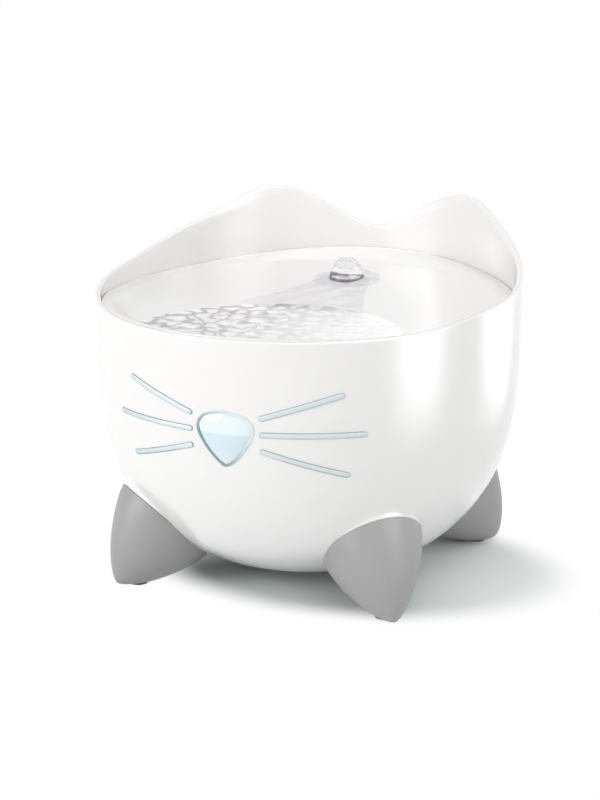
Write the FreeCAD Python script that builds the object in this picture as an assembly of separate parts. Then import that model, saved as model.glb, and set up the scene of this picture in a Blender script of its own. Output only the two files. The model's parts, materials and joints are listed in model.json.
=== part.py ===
import FreeCAD, Part
import math
import os

V = FreeCAD.Vector

# Frame: millimetres, +Z up, front of the fountain towards -Y, origin on the bowl's axis at floor level.

# Bowl
bowl_radius = 125.0         # widest outside radius
base_height = 7.4           # underside of the bowl above the floor
base_runout = 4.8           # how far the belly curve would run on below the flat base
belly_power = 2.95          # fullness of the belly curve along the height
round_power = 2.52          # fullness of the belly curve across
wall = 3.5                  # moulded wall
rim_height = 161.0          # top of the rim at the front
rim_wall_height = 11.0      # straight wall from the belly up to the front rim
lip_round = 1.2             # rounding of the rim's two edges
ledge_width = 3.2           # ledge that carries the tray, from the wall inwards
ledge_drop = 9.4            # ledge top below the front rim
ledge_depth = 4.0           # straight face of the ledge

# Rim outline on one side: angle from the front in degrees, rise above the front rim
rim_outline = [(0, 0.0), (30, 0.5), (52, 2.5), (72, 7.2), (90, 10.8), (104, 17.0), (118, 26.8),
               (129, 34.8), (138, 44.0), (144, 48.6), (150, 49.8), (156, 47.6), (164, 39.8), (172, 30.6)]
saddle_rise = 25.5          # rise at the back, between the ears

# Feet
foot_angles = {"front": 43.9, "rear": 127.3}
foot_inset = 32.5           # centre of the foot's joint face, in from the bowl's widest radius
foot_flat_cut = 1.15        # the foot's rounded underside would reach this far below its flat
foot_tilt = 45.0            # the foot points this far down from level
foot_half_height = 32.8     # joint face, half size in the foot's upright plane
foot_half_width = 28.5      # joint face, half size along the bowl
foot_length = 46.5          # joint face to tip
foot_lean = 0.058           # the tip droops by this share of the length
foot_power = 1.3            # how soon the foot narrows
tip_power = 0.7             # roundness of the tip
hood_flare = 0.25           # widening of the white hood towards the bowl
hood_length = 30.0          # hood length behind the joint face, most of it inside the bowl
pad_radius = 5.5            # rubber pad under each foot
pad_thickness = 0.8         # pad, between the foot's flat and the floor
pad_setback = 2.9           # pad centre, in from the foot's lowest point

# Nose window, half outline: across from the middle, height above the window's tip
nose_drop = 70.2            # the tip below the front rim
nose_outline = [(4.2, 2.2), (8.8, 6.9), (14.0, 14.5), (16.5, 22.2), (14.4, 27.0), (10.6, 29.6), (4.0, 31.1)]
nose_top_rise = 31.5        # top of the window above its tip
gasket_width = 1.4          # seal round the window
lens_proud = 0.6            # window and whiskers stand out of the wall by this much

# Whiskers: outer end's angle and height, inner end's angle and height, above the window's tip
whisker_ends = {"upper": (29.2, 41.6, 9.6, 28.7),
                "middle": (34.9, 19.8, 9.7, 19.5),
                "lower": (31.0, -3.0, 9.8, 10.0)}
whisker_width = 3.3
whisker_depth = 1.4         # groove in the wall

# Tray
tray_gap = 0.3              # tray to wall, all round
tray_skin = 2.5             # thickness of the dish
lip_width = 3.7             # flat lip at the tray's edge
skirt_width = 2.7           # skirt under the lip, down to the ledge
lip_back_rise = 11.5        # the lip climbs this much to the back
lip_back_power = 5.0        # how late it climbs
pool_inset = 57.0           # deepest point of the dish, in from the bowl's widest radius
pool_depth = 13.0           # deepest point below the front rim
pool_radius = 76.0          # water's edge from the deepest point
pool_water = 6.0            # depth of water in the pool
slope_power = 1.3           # steepness of the slope behind the pool
dish_wall = 12.5            # radial run of the wall between dish and lip
spout_inset = 59.0          # spout's centre, in from the bowl's widest radius
spout_bore = 7.3            # radius of the spout's hole
spout_wall = 2.0
spout_socket = 16.0         # socket under the dish
drain_count = 9
drain_width = 3.0
drain_length = 7.0
drain_pitch = 5.2           # degrees between the overflow slots
surface_step = 6.0          # spacing of the points that carry the dish surface
surface_margin = 3.0        # the points run on this far past the tray's edge

# Filter under the front of the tray
filter_inset = 61.0         # its centre, in from the bowl's widest radius
filter_length = 92.0        # along X
filter_breadth = 52.0       # along Y
filter_collar = 2.0         # wall of the collar under the tray
collar_depth = 14.6         # the collar's lower edge below the ledge
basket_gap = 0.3            # basket to collar
basket_wall = 1.8
basket_depth = 20.0         # the basket's bottom below the collar
basket_overlap = 6.0        # the basket's top edge reaches up round the collar
basket_slots = 9
basket_slot_width = 4.0
basket_slot_margin = 7.0
retainer_thickness = 1.5
cartridge_gap = 0.2
cartridge_round = 3.0

# Pump
motor_axis_height = 42.0
motor_half_width = 21.0
motor_length = 44.0
motor_round = 5.0
base_half_width = 20.0
base_lead = 4.0             # the base plate starts this far in front of the motor
base_length = 36.0
base_thickness = 7.0
base_round = 2.3
cup_height = 4.4
cup_radius = 7.0
cup_stem = 2.6
cup_offset = 12.5           # cups either side of the middle
cup_rows = (8.0, 27.0)      # behind the base plate's front edge
cup_hollow = 1.6            # depth of the hollow under a cup
cup_edge = 1.0              # thickness and bevel of its skirt
well_radius = 11.0
well_length = 30.0
magnet_radius = 9.8
magnet_length = 26.0
shaft_radius = 1.5
shaft_clearance = 0.05
bush_radius = 4.0
front_bush_radius = 3.0
bush_length = 2.0
core_limb = 5.5
core_height = 16.0
core_gap = 1.2              # plastic between the well and the core
coil_half_width = 9.0
coil_margin = 5.0
volute_radius = 17.0
volute_bore = 14.2
volute_face = 2.0
impeller_radius = 12.6
impeller_hub = 4.0
impeller_plate = 1.4
blade_count = 6
blade_height = 6.0
blade_thickness = 1.3
side_play = 0.6             # room at each end of the rotor
intake_radius = 6.0
nozzle_radius = 8.0
nozzle_wall = 2.2
nozzle_rise = 42.0          # top of the outlet above the motor's axis
cover_radius = 14.0
cover_length = 6.0
cover_wall = 1.6
cover_slots = 8
cover_slot_width = 2.2
dial_radius = 9.0
dial_thickness = 2.4
dial_pin = 2.0
dial_gap = 0.3
dial_tab = 4.0
tab_root = 1.0              # the tab starts this far inside the dial's edge
led_radius = 5.0
led_length = 5.0
riser_wall = 2.2
riser_gap = 0.3             # riser to pump outlet
riser_overlap = 14.0        # the riser reaches down over the outlet
riser_top_gap = 1.0         # riser's top edge to the dish

# Cord gland in the rear wall
gland_drop = 12.4           # its centre below the underside of the ledge
gland_radius = 5.5
gland_bore = 2.7
gland_flange = 8.5
gland_flange_thickness = 2.0
gland_flange_gap = 0.4      # flange to the wall's inside
gland_inset = 0.1           # outer face below the bowl's skin

# Construction
belly_points = 10
foot_points = 9
sole_points = 200
slope_step = 0.05           # height step that measures the wall's slope
blank_margin = 10.0         # blanks reach this far above the ears
cutter_overlap = 12.0       # the rim cutter reaches past the wall on both sides

# Worked out
widest_height = rim_height - rim_wall_height
belly_depth = widest_height - base_height + base_runout
ear_top = rim_height + max(rise for angle, rise in rim_outline)
blank_top = ear_top + blank_margin
nose_tip_height = rim_height - nose_drop
foot_reach = bowl_radius - foot_inset
rim_inside = bowl_radius - wall
tray_radius = rim_inside - tray_gap
ledge_top = rim_height - ledge_drop
brace_bottom = ledge_top - ledge_depth - ledge_width
gland_height = brace_bottom - gland_drop
floor_top = base_height + wall
pool_centre = pool_inset - bowl_radius
pool_bottom = rim_height - pool_depth
filter_centre = filter_inset - bowl_radius
collar_bottom = ledge_top - collar_depth
basket_bottom = collar_bottom - basket_depth
basket_top = collar_bottom + basket_overlap
spout_reach = bowl_radius - spout_inset
spout_outside = spout_bore + spout_wall
motor_back = spout_reach - nozzle_radius
motor_front = motor_back - motor_length
base_start = motor_front - base_lead
volute_back = spout_reach + nozzle_radius
cover_back = volute_back + cover_length
well_front = motor_back - well_length
blades_front = motor_back + side_play + impeller_plate
blades_back = blades_front + blade_height
shaft_end = blades_back + side_play         # the shaft's front bearing starts here
base_top = floor_top + cup_height + base_thickness
motor_half_height = motor_axis_height - base_top
nozzle_top = motor_axis_height + nozzle_rise
riser_bottom = nozzle_top - riser_overlap
reach = 2.0 * bowl_radius   # larger than anything that is cut


def radial(angle, radius, height):
    turn = math.radians(angle)
    return V(radius * math.sin(turn), -radius * math.cos(turn), height)


def belly_radius(height):
    share = (widest_height - height) / belly_depth
    return bowl_radius * (1.0 - share ** belly_power) ** (1.0 / round_power)


def skin_radius(height, offset):
    # The outside pushed out by offset, measured square to the wall.
    below = min(height, widest_height - slope_step)
    slope = (belly_radius(below + slope_step) - belly_radius(below)) / slope_step
    return belly_radius(height) + offset * math.sqrt(1.0 + slope * slope)


def bowl_solid(offset, bottom):
    points = []
    for i in range(belly_points + 1):
        height = bottom + (widest_height - bottom) * (i / belly_points) ** 2
        points.append(V(skin_radius(height, offset), 0, height))
    belly = Part.BSplineCurve()
    belly.interpolate(points)
    first, last = points[0], points[-1]
    corner = V(last.x, 0, blank_top)
    edges = [belly.toShape(),
             Part.makeLine(last, corner),
             Part.makeLine(corner, V(0, 0, blank_top)),
             Part.makeLine(V(0, 0, blank_top), V(0, 0, bottom)),
             Part.makeLine(V(0, 0, bottom), first)]
    return Part.Face(Part.Wire(edges)).revolve(V(0, 0, 0), V(0, 0, 1), 360)


def ring(outer, inner, bottom, top):
    tube = Part.makeCylinder(outer, top - bottom, V(0, 0, bottom))
    return tube.cut(Part.makeCylinder(inner, top - bottom, V(0, 0, bottom)))


def box(x0, x1, y0, y1, z0, z1):
    return Part.makeBox(x1 - x0, y1 - y0, z1 - z0, V(x0, y0, z0))


def edges_along(shape, axis):
    # The shape's straight edges that run along the axis.
    return [edge for edge in shape.Edges
            if edge.tangentAt(edge.FirstParameter).cross(axis).Length < slope_step]


def along_y(radius, y0, y1, x=0.0, z=motor_axis_height):
    return Part.makeCylinder(radius, y1 - y0, V(x, y0, z), V(0, 1, 0))


def rim_curve(radius):
    side = [(angle, rim_height + rise) for angle, rise in rim_outline]
    round_trip = side + [(180, rim_height + saddle_rise)] + [(360 - a, z) for a, z in reversed(side[1:])]
    curve = Part.BSplineCurve()
    curve.interpolate([radial(angle, radius, height) for angle, height in round_trip], True)
    return curve.toShape()


def rim_cutter():
    inner = rim_curve(bowl_radius - cutter_overlap)
    outer = rim_curve(bowl_radius + cutter_overlap)
    face = Part.makeRuledSurface(inner, outer)
    return face.extrude(V(0, 0, 2.0 * blank_top))


def foot_profile(distance):
    share = distance / foot_length
    return foot_half_height * (1.0 - share ** foot_power) ** tip_power


def foot_blank():
    # Turned about +Z with the joint face at zero and the tip up.
    points = []
    for i in range(foot_points + 1):
        distance = foot_length * (1.0 - (1.0 - i / foot_points) ** 2)
        points.append(V(foot_profile(distance), 0, distance))
    side = Part.BSplineCurve()
    side.interpolate(points)
    edges = [side.toShape(),
             Part.makeLine(points[-1], V(0, 0, 0)),
             Part.makeLine(V(0, 0, 0), points[0])]
    return Part.Face(Part.Wire(edges)).revolve(V(0, 0, 0), V(0, 0, 1), 360)


def hood_blank():
    wide = foot_half_height + hood_flare * hood_length
    return Part.makeCone(wide, foot_half_height, hood_length, V(0, 0, -hood_length))


def leg_frame():
    # Directions of a leg at the bowl's front: up its joint face, sideways, and out along its drooping axis.
    tilt = math.radians(foot_tilt)
    out = radial(0, 1.0, 0.0)
    up_face = out * math.sin(tilt) + V(0, 0, math.cos(tilt))
    narrow = V(out.y, -out.x, 0) * (foot_half_width / foot_half_height)
    droop = out * math.cos(tilt) - V(0, 0, math.sin(tilt)) - up_face * foot_lean
    return up_face, narrow, droop


def foot_sole():
    # The lowest point of the leg's underside, measured from the centre of the joint face.
    up_face, narrow, droop = leg_frame()
    distances = [foot_length * i / sole_points for i in range(sole_points)]
    return min((droop * d - up_face * foot_profile(d) for d in distances), key=lambda point: point.z)


def joint_centre():
    # The leg stands so high that its flat, on top of the pad, cuts off just its lowest point.
    return radial(0, foot_reach, pad_thickness - foot_flat_cut - foot_sole().z)


def set_leg(shape):
    # Carries a turned leg piece, made about +Z, to its place at the bowl's front.
    up_face, narrow, droop = leg_frame()
    at = joint_centre()
    matrix = FreeCAD.Matrix(up_face.x, narrow.x, droop.x, at.x,
                            up_face.y, narrow.y, droop.y, at.y,
                            up_face.z, narrow.z, droop.z, at.z,
                            0, 0, 0, 1)
    return shape.transformGeometry(matrix)


def turned(shape, angle):
    copy = shape.copy()
    copy.rotate(V(0, 0, 0), V(0, 0, 1), angle)
    return copy


def nose_prism(inset):
    # The outline, moved inwards by inset square to itself, carried back through the front wall.
    side = [(0, 0.0)] + nose_outline + [(0, nose_top_rise)] + [(-x, z) for x, z in reversed(nose_outline)]
    points = []
    for i, (x, z) in enumerate(side):
        before, after = side[i - 1], side[(i + 1) % len(side)]
        along = V(after[0] - before[0], 0, after[1] - before[1]).normalize()
        points.append(V(x - inset * along.z, -reach, nose_tip_height + z + inset * along.x))
    curve = Part.BSplineCurve()
    curve.interpolate(points, True)
    return Part.Face(Part.Wire(curve.toShape())).extrude(V(0, reach, 0))


def whisker_prism(ends):
    outer_angle, outer_rise, inner_angle, inner_rise = ends
    outer_height = nose_tip_height + outer_rise
    inner_height = nose_tip_height + inner_rise
    first = V(belly_radius(inner_height) * math.sin(math.radians(inner_angle)), -reach, inner_height)
    last = V(belly_radius(outer_height) * math.sin(math.radians(outer_angle)), -reach, outer_height)
    along = (last - first).normalize()
    across = V(-along.z, 0, along.x) * (whisker_width / 2.0)
    end_out = along * (whisker_width / 2.0)
    edges = [Part.makeLine(first + across, last + across),
             Part.Arc(last + across, last + end_out, last - across).toShape(),
             Part.makeLine(last - across, first - across),
             Part.Arc(first - across, first - end_out, first + across).toShape()]
    return Part.Face(Part.Wire(edges)).extrude(V(0, reach, 0))


def dish_height(x, y):
    # A bowl round the pool that turns into a slope behind it, then a wall up to the flat lip.
    out = math.hypot(x, y)
    away = math.hypot(x, y - pool_centre)
    bed = pool_bottom + pool_water * (away / pool_radius) ** slope_power
    behind = 0.5 + 0.5 * y / max(out, 1.0)
    lip = rim_height + lip_back_rise * behind ** lip_back_power
    share = (out - (tray_radius - lip_width - dish_wall)) / dish_wall
    share = min(max(share, 0.0), 1.0)
    blend = share * share * (3.0 - 2.0 * share)
    return bed + (lip - bed) * blend


def dish_face():
    half = math.ceil((tray_radius + surface_margin) / surface_step)
    line = [i * surface_step for i in range(-half, half + 1)]
    surface = Part.BSplineSurface()
    surface.interpolate([[V(x, y, dish_height(x, y)) for y in line] for x in line])
    return surface.toShape()


def make_tray():
    face = dish_face()
    below = face.extrude(V(0, 0, -2.0 * spout_socket - tray_skin))
    tray = face.extrude(V(0, 0, -tray_skin)).common(Part.makeCylinder(tray_radius, blank_top))
    skirt = ring(tray_radius, tray_radius - skirt_width, ledge_top, blank_top)
    outside = filter_block(0.0, collar_bottom, blank_top)
    inside = filter_block(-filter_collar, collar_bottom, blank_top)
    spout_height = dish_height(0, spout_reach)
    socket = Part.makeCylinder(spout_outside, blank_top, V(0, spout_reach, spout_height - spout_socket))
    tray = tray.fuse([extra.common(below) for extra in (skirt, outside.cut(inside), socket)])
    holes = [Part.makeCylinder(spout_bore, blank_top, V(0, spout_reach, 0))]
    slot_middle = tray_radius - lip_width - dish_wall - drain_length / 2.0
    for i in range(drain_count):
        angle = (i - (drain_count - 1) / 2.0) * drain_pitch
        slot = box(-drain_width / 2, drain_width / 2,
                   -slot_middle - drain_length / 2, -slot_middle + drain_length / 2,
                   collar_bottom, blank_top)
        slot.rotate(V(0, 0, 0), V(0, 0, 1), angle)
        holes.append(slot)
    return tray.cut(holes).removeSplitter()


def make_shell(outside, hoods, window, grooves):
    shell = outside.fuse(hoods).cut(bowl_solid(-wall, floor_top))
    mid_wall = rim_inside + wall / 2.0
    ledge = ring(mid_wall, rim_inside - ledge_width, brace_bottom + ledge_width, ledge_top)
    brace = ring(mid_wall, rim_inside - ledge_width, brace_bottom, brace_bottom + ledge_width)
    brace = brace.cut(Part.makeCone(rim_inside, rim_inside - ledge_width, ledge_width, V(0, 0, brace_bottom)))
    shell = shell.fuse([ledge, brace]).cut(rim_cutter())
    lip = [edge for edge in shell.Edges
           if edge.BoundBox.ZMin > rim_height - wall and edge.BoundBox.ZMax > rim_height + saddle_rise]
    shell = shell.makeFillet(lip_round, lip)
    return shell.cut([window, along_y(gland_radius, 0, reach, 0, gland_height)] + grooves)


def filter_block(margin, bottom, top):
    # The filter's rectangle, grown by margin on all four sides.
    half_x = filter_length / 2.0 + margin
    half_y = filter_breadth / 2.0 + margin
    return box(-half_x, half_x, filter_centre - half_y, filter_centre + half_y, bottom, top)


def grille(plate):
    half_x = filter_length / 2.0 + basket_gap - basket_slot_margin
    half_y = filter_breadth / 2.0 + basket_gap - basket_slot_margin
    room = 2.0 * half_x - basket_slot_width
    for i in range(basket_slots):
        x = -room / 2.0 + room * i / (basket_slots - 1)
        plate = plate.cut(box(x - basket_slot_width / 2, x + basket_slot_width / 2,
                              filter_centre - half_y, filter_centre + half_y, 0, collar_bottom))
    return plate


def make_basket():
    basket = filter_block(basket_gap + basket_wall, basket_bottom, basket_top)
    return grille(basket.cut(filter_block(basket_gap, basket_bottom + basket_wall, basket_top)))


def make_filter_inside():
    margin = basket_gap - cartridge_gap
    retainer_top = collar_bottom - basket_gap
    retainer_bottom = retainer_top - retainer_thickness
    retainer = grille(filter_block(margin, retainer_bottom, retainer_top))
    cartridge_bottom = basket_bottom + basket_wall + cartridge_gap
    cartridge = filter_block(margin, cartridge_bottom, retainer_bottom - cartridge_gap)
    return retainer, cartridge.makeFillet(cartridge_round, edges_along(cartridge, V(0, 0, 1)))


def rounded_box(x0, x1, y0, y1, z0, z1, radius):
    block = box(x0, x1, y0, y1, z0, z1)
    return block.makeFillet(radius, edges_along(block, V(0, 1, 0)))


def stator_core():
    # U-shaped lamination stack: a limb each side of the rotor well, joined in front of it.
    low = motor_axis_height - core_height / 2.0
    high = motor_axis_height + core_height / 2.0
    near = well_radius + core_gap
    far = near + core_limb
    bridge_back = well_front - core_gap
    core = box(-far, far, bridge_back - core_limb, motor_back - core_limb, low, high)
    return core.cut(box(-near, near, bridge_back, motor_back, low, high))


def stator_coil():
    half_height = core_height / 2.0 + coil_margin
    bridge_front = well_front - core_gap - core_limb
    front = bridge_front - coil_margin + core_gap
    back = bridge_front + core_limb + core_gap / 2.0
    coil = box(-coil_half_width, coil_half_width, front, back,
               motor_axis_height - half_height, motor_axis_height + half_height)
    return coil.cut(stator_core())


def make_magnet():
    magnet_front = well_front + bush_length + side_play
    magnet = along_y(magnet_radius, magnet_front, magnet_front + magnet_length)
    return magnet.cut(along_y(shaft_radius + shaft_clearance, 0, reach))


def make_impeller():
    hub_front = well_front + bush_length + side_play + magnet_length
    wheel = along_y(impeller_hub, hub_front, blades_back)
    wheel = wheel.fuse(along_y(impeller_radius, blades_front - impeller_plate, blades_front))
    rim = along_y(impeller_radius, blades_front, blades_back)
    for i in range(blade_count):
        blade = box(-blade_thickness / 2, blade_thickness / 2, blades_front - impeller_plate / 2, blades_back,
                    motor_axis_height, motor_axis_height + impeller_radius)
        blade.rotate(V(0, 0, motor_axis_height), V(0, 1, 0), 360.0 * i / blade_count)
        wheel = wheel.fuse(blade.common(rim))
    return wheel.cut(along_y(shaft_radius + shaft_clearance, 0, reach)).removeSplitter()


def cup(x, y):
    # Turned outline: stem up into the base plate, skirt spread on the bowl's floor.
    rise = floor_top + cup_height
    stem_top = rise + base_thickness / 2.0
    outline = [(0, floor_top + cup_hollow), (cup_radius - cup_edge, floor_top), (cup_radius, floor_top),
               (cup_stem, rise - cup_edge), (cup_stem, stem_top), (0, stem_top)]
    points = [V(radius, 0, height) for radius, height in outline]
    solid = Part.Face(Part.makePolygon(points + points[:1])).revolve(V(0, 0, 0), V(0, 0, 1), 360)
    solid.translate(V(x, y, 0))
    return solid


def make_cups():
    cups = {}
    for column, x in (("left", -cup_offset), ("right", cup_offset)):
        for row, y in zip(("front", "rear"), cup_rows):
            cups["suction_cup_" + row + "_" + column] = cup(x, base_start + y)
    return cups


def make_base(cups):
    base = rounded_box(-base_half_width, base_half_width, base_start, base_start + base_length,
                       base_top - base_thickness, base_top, base_round)
    return base.cut(cups)


def make_housing(inside):
    housing = rounded_box(-motor_half_width, motor_half_width, motor_front, motor_back,
                          motor_axis_height - motor_half_height, motor_axis_height + motor_half_height,
                          motor_round)
    housing = housing.cut(along_y(well_radius, well_front, motor_back))
    return housing.cut(inside)


def upright(radius, bottom, top):
    return Part.makeCylinder(radius, top - bottom, V(0, spout_reach, bottom))


def make_volute():
    throat = motor_axis_height + intake_radius + volute_face
    volute = along_y(volute_radius, motor_back, volute_back)
    volute = volute.fuse(upright(nozzle_radius, motor_axis_height, nozzle_top))
    volute = volute.cut([along_y(volute_bore, motor_back, shaft_end),
                         upright(nozzle_radius - nozzle_wall, throat, nozzle_top),
                         along_y(intake_radius, shaft_end, volute_back)])
    spider = box(-blade_thickness, blade_thickness, shaft_end, volute_back,
                 motor_axis_height - volute_bore, motor_axis_height + volute_bore)
    hub = along_y(bush_radius, shaft_end, volute_back)
    return volute.fuse([spider, hub]).cut(along_y(front_bush_radius, shaft_end, shaft_end + volute_face))


def vane_slot(turn, y0, y1, outer):
    # One slot of the intake, between the dial's pin and the outer radius.
    slot = box(-cover_slot_width / 2, cover_slot_width / 2, y0, y1,
               motor_axis_height + dial_pin + cover_wall, motor_axis_height + outer - cover_wall)
    slot.rotate(V(0, 0, motor_axis_height), V(0, 1, 0), 360.0 * turn / cover_slots)
    return slot


def make_cover():
    cover = along_y(cover_radius, volute_back, cover_back)
    cover = cover.cut(along_y(cover_radius - cover_wall, volute_back, cover_back - cover_wall))
    slots = [vane_slot(i + 0.5, volute_back, cover_back, cover_radius) for i in range(cover_slots)]
    return cover.cut(slots).cut(along_y(dial_pin + shaft_clearance, volute_back, cover_back))


def make_dial():
    front = cover_back + dial_gap
    back = front + dial_thickness
    slots = [vane_slot(2 * i + 0.5, front, back, dial_radius) for i in range(cover_slots // 2)]
    dial = along_y(dial_radius, front, back).cut(slots)
    tab = box(-dial_tab / 2, dial_tab / 2, front, back,
              motor_axis_height + dial_radius - tab_root, motor_axis_height + dial_radius + dial_tab)
    return dial.fuse([along_y(dial_pin, cover_back - cover_wall - dial_gap, front), tab])


def make_riser():
    spout_height = dish_height(0, spout_reach)
    socket_bottom = spout_height - spout_socket
    outside = spout_outside + riser_wall
    sleeve = upright(outside, riser_bottom, spout_height - tray_skin - riser_top_gap)
    sleeve = sleeve.cut(upright(spout_outside, socket_bottom, blank_top))
    return sleeve.cut(upright(nozzle_radius + riser_gap, riser_bottom, socket_bottom))


def make_gland():
    out = skin_radius(gland_height, 0) - gland_inset
    back = skin_radius(gland_height, -wall) - gland_flange_gap
    body = along_y(gland_radius, back, out, 0, gland_height)
    flange = along_y(gland_flange, back - gland_flange_thickness, back, 0, gland_height)
    return body.fuse(flange).cut(along_y(gland_bore, 0, reach, 0, gland_height)).removeSplitter()


parts = {}
belly = bowl_solid(0, base_height)
ground = box(-reach, reach, -reach, reach, -reach, pad_thickness)
foot = set_leg(foot_blank()).cut(ground).cut(belly)
pad_reach = foot_reach - foot_sole().y - pad_setback
pad = Part.makeCylinder(pad_radius, pad_thickness, radial(0, pad_reach, 0))
hood = set_leg(hood_blank())
hoods = []
for row, angle in foot_angles.items():
    for column, sign in (("left", -1), ("right", 1)):
        place = row + "_" + column
        parts["foot_" + place] = turned(foot, sign * angle)
        parts["foot_pad_" + place] = turned(pad, sign * angle)
        hoods.append(turned(hood, sign * angle))

pane = bowl_solid(lens_proud, base_height).cut(bowl_solid(-wall, floor_top))
inlay_band = bowl_solid(lens_proud, base_height).cut(bowl_solid(-whisker_depth, floor_top))
parts["nose_lens"] = nose_prism(gasket_width).common(pane)
parts["nose_gasket"] = nose_prism(0).cut(nose_prism(gasket_width)).common(pane)
grooves = []
for row, ends in whisker_ends.items():
    inlay = whisker_prism(ends).common(inlay_band)
    parts["whisker_" + row + "_right"] = inlay
    parts["whisker_" + row + "_left"] = inlay.mirror(V(0, 0, 0), V(1, 0, 0))
    grooves += [inlay, parts["whisker_" + row + "_left"]]

parts["bowl_shell"] = make_shell(belly, hoods, nose_prism(0), grooves)
parts["cable_gland"] = make_gland()
parts["drinking_tray"] = make_tray()
parts["riser_tube"] = make_riser()
parts["filter_basket"] = make_basket()
parts["filter_retainer"], parts["filter_cartridge"] = make_filter_inside()

cups = make_cups()
parts.update(cups)
parts["pump_base"] = make_base(list(cups.values()))
parts["stator_core"] = stator_core()
parts["stator_coil"] = stator_coil()
parts["pump_shaft"] = along_y(shaft_radius, well_front - core_gap / 2.0, shaft_end + volute_face)
bush = along_y(bush_radius, well_front, well_front + bush_length)
parts["rear_bush"] = bush.cut(parts["pump_shaft"])
bush = along_y(front_bush_radius, shaft_end, shaft_end + volute_face)
parts["front_bush"] = bush.cut(parts["pump_shaft"])
parts["pump_housing"] = make_housing([parts["stator_core"], parts["stator_coil"], parts["pump_shaft"]])
parts["rotor_magnet"] = make_magnet()
parts["impeller"] = make_impeller()
parts["pump_volute"] = make_volute()
parts["intake_cover"] = make_cover()
parts["flow_dial"] = make_dial()
parts["led_module"] = along_y(led_radius, motor_front - led_length, motor_front)

os.makedirs("parts", exist_ok=True)
for name, shape in parts.items():
    print(name, shape.isValid(), len(shape.Solids), round(shape.Volume, 1))
    shape.exportStep("parts/" + name + ".step")
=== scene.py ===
# %% [markdown]
# # A pet water fountain, dressed in Blender
#
# The fountain is a round white bowl on four grey feet. A white dish drops into its rim, a pump pushes
# water up through a spout at the back of the dish, and the water runs down into a pool at the front.
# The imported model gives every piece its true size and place. This lesson adds what the eye reads:
# smooth glossy skins, clear inlays, water, and soft studio light.

# %% Load the frame
import json
import math
import bmesh
import bpy
import numpy as np
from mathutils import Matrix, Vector


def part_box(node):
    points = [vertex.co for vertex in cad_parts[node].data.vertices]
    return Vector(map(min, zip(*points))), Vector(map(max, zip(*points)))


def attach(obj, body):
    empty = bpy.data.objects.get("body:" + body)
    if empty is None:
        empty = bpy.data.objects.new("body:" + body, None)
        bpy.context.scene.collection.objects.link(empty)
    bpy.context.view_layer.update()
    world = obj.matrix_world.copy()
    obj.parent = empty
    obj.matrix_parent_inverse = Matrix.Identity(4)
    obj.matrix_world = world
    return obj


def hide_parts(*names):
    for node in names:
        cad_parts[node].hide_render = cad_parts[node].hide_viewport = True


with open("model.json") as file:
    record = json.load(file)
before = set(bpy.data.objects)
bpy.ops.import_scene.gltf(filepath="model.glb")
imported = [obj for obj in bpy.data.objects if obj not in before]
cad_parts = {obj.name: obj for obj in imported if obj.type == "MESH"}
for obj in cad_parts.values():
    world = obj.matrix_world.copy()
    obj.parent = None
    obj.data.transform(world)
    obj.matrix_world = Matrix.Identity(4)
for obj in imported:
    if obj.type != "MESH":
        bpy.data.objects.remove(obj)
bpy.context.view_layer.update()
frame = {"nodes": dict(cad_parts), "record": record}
MM = 0.001
print("pieces in the frame:", len(frame["nodes"]))

# %% [markdown]
# ## Camera
#
# The camera stands a metre away, a little to the right of the nose and above the rim. Its long lens keeps
# the rim's ellipse as flat as in the picture. A small shift centres the bowl without turning the camera.

# %% Place the camera
VIEW_TURN = math.radians(21.12)
VIEW_DISTANCE = 1.0
VIEW_HEIGHT = 0.3557
AIM_HEIGHT = 0.085

camera_data = bpy.data.cameras.new("view")
camera_data.sensor_fit = "VERTICAL"
camera_data.sensor_height = 36.0
camera_data.lens = 77.59
camera_data.shift_x = -0.0105
camera_data.shift_y = 0.0270
camera = bpy.data.objects.new("view", camera_data)
camera.location = (VIEW_DISTANCE * math.sin(VIEW_TURN), -VIEW_DISTANCE * math.cos(VIEW_TURN), VIEW_HEIGHT)
sight = Vector((0, 0, AIM_HEIGHT)) - camera.location
camera.rotation_euler = sight.to_track_quat("-Z", "Y").to_euler()
bpy.context.scene.collection.objects.link(camera)
bpy.context.scene.camera = camera
print("camera stands", round(sight.length, 3), "m from what it looks at")

# %% [markdown]
# ## Turning grids into meshes
#
# Every new piece is a grid of points, worked out as one numpy array. One helper joins neighbouring points
# with four-sided faces, closes a grid that runs round on itself, and merges the points that meet at a pole.

# %% Mesh helpers
SHARP = math.radians(38)
SAME_POINT = 2e-6


def grid_faces(rows, columns, start):
    """Indices of the quads between each point, its right neighbour, and the two above them."""
    left = np.arange(rows * columns).reshape(rows, columns) + start
    right = np.roll(left, -1, axis=1)
    return np.stack([left[:-1], right[:-1], right[1:], left[1:]], axis=-1).reshape(-1, 4)


def smooth(mesh):
    """Shades the faces smoothly, apart from edges that turn by more than the sharp angle."""
    mesh.polygons.foreach_set("use_smooth", np.ones(len(mesh.polygons), dtype=bool))
    mesh.set_sharp_from_angle(angle=SHARP)


def piece_from_grids(name, grids, body="root"):
    """One object from several grids of points in millimetres; each grid wraps round its columns."""
    points, faces, start = [], [], 0
    for grid in grids:
        rows, columns = grid.shape[:2]
        points.append(grid.reshape(-1, 3))
        faces.append(grid_faces(rows, columns, start))
        start += rows * columns
    mesh = bpy.data.meshes.new(name)
    mesh.from_pydata(np.vstack(points) * MM, [], np.vstack(faces))
    work = bmesh.new()
    work.from_mesh(mesh)
    bmesh.ops.remove_doubles(work, verts=work.verts, dist=SAME_POINT)
    bmesh.ops.dissolve_degenerate(work, edges=work.edges, dist=SAME_POINT / 2)
    bmesh.ops.recalc_face_normals(work, faces=work.faces)
    work.to_mesh(mesh)
    work.free()
    smooth(mesh)
    piece = bpy.data.objects.new(name, mesh)
    bpy.context.scene.collection.objects.link(piece)
    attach(piece, body)
    print(name, "has", len(mesh.polygons), "faces")
    return piece


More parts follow.
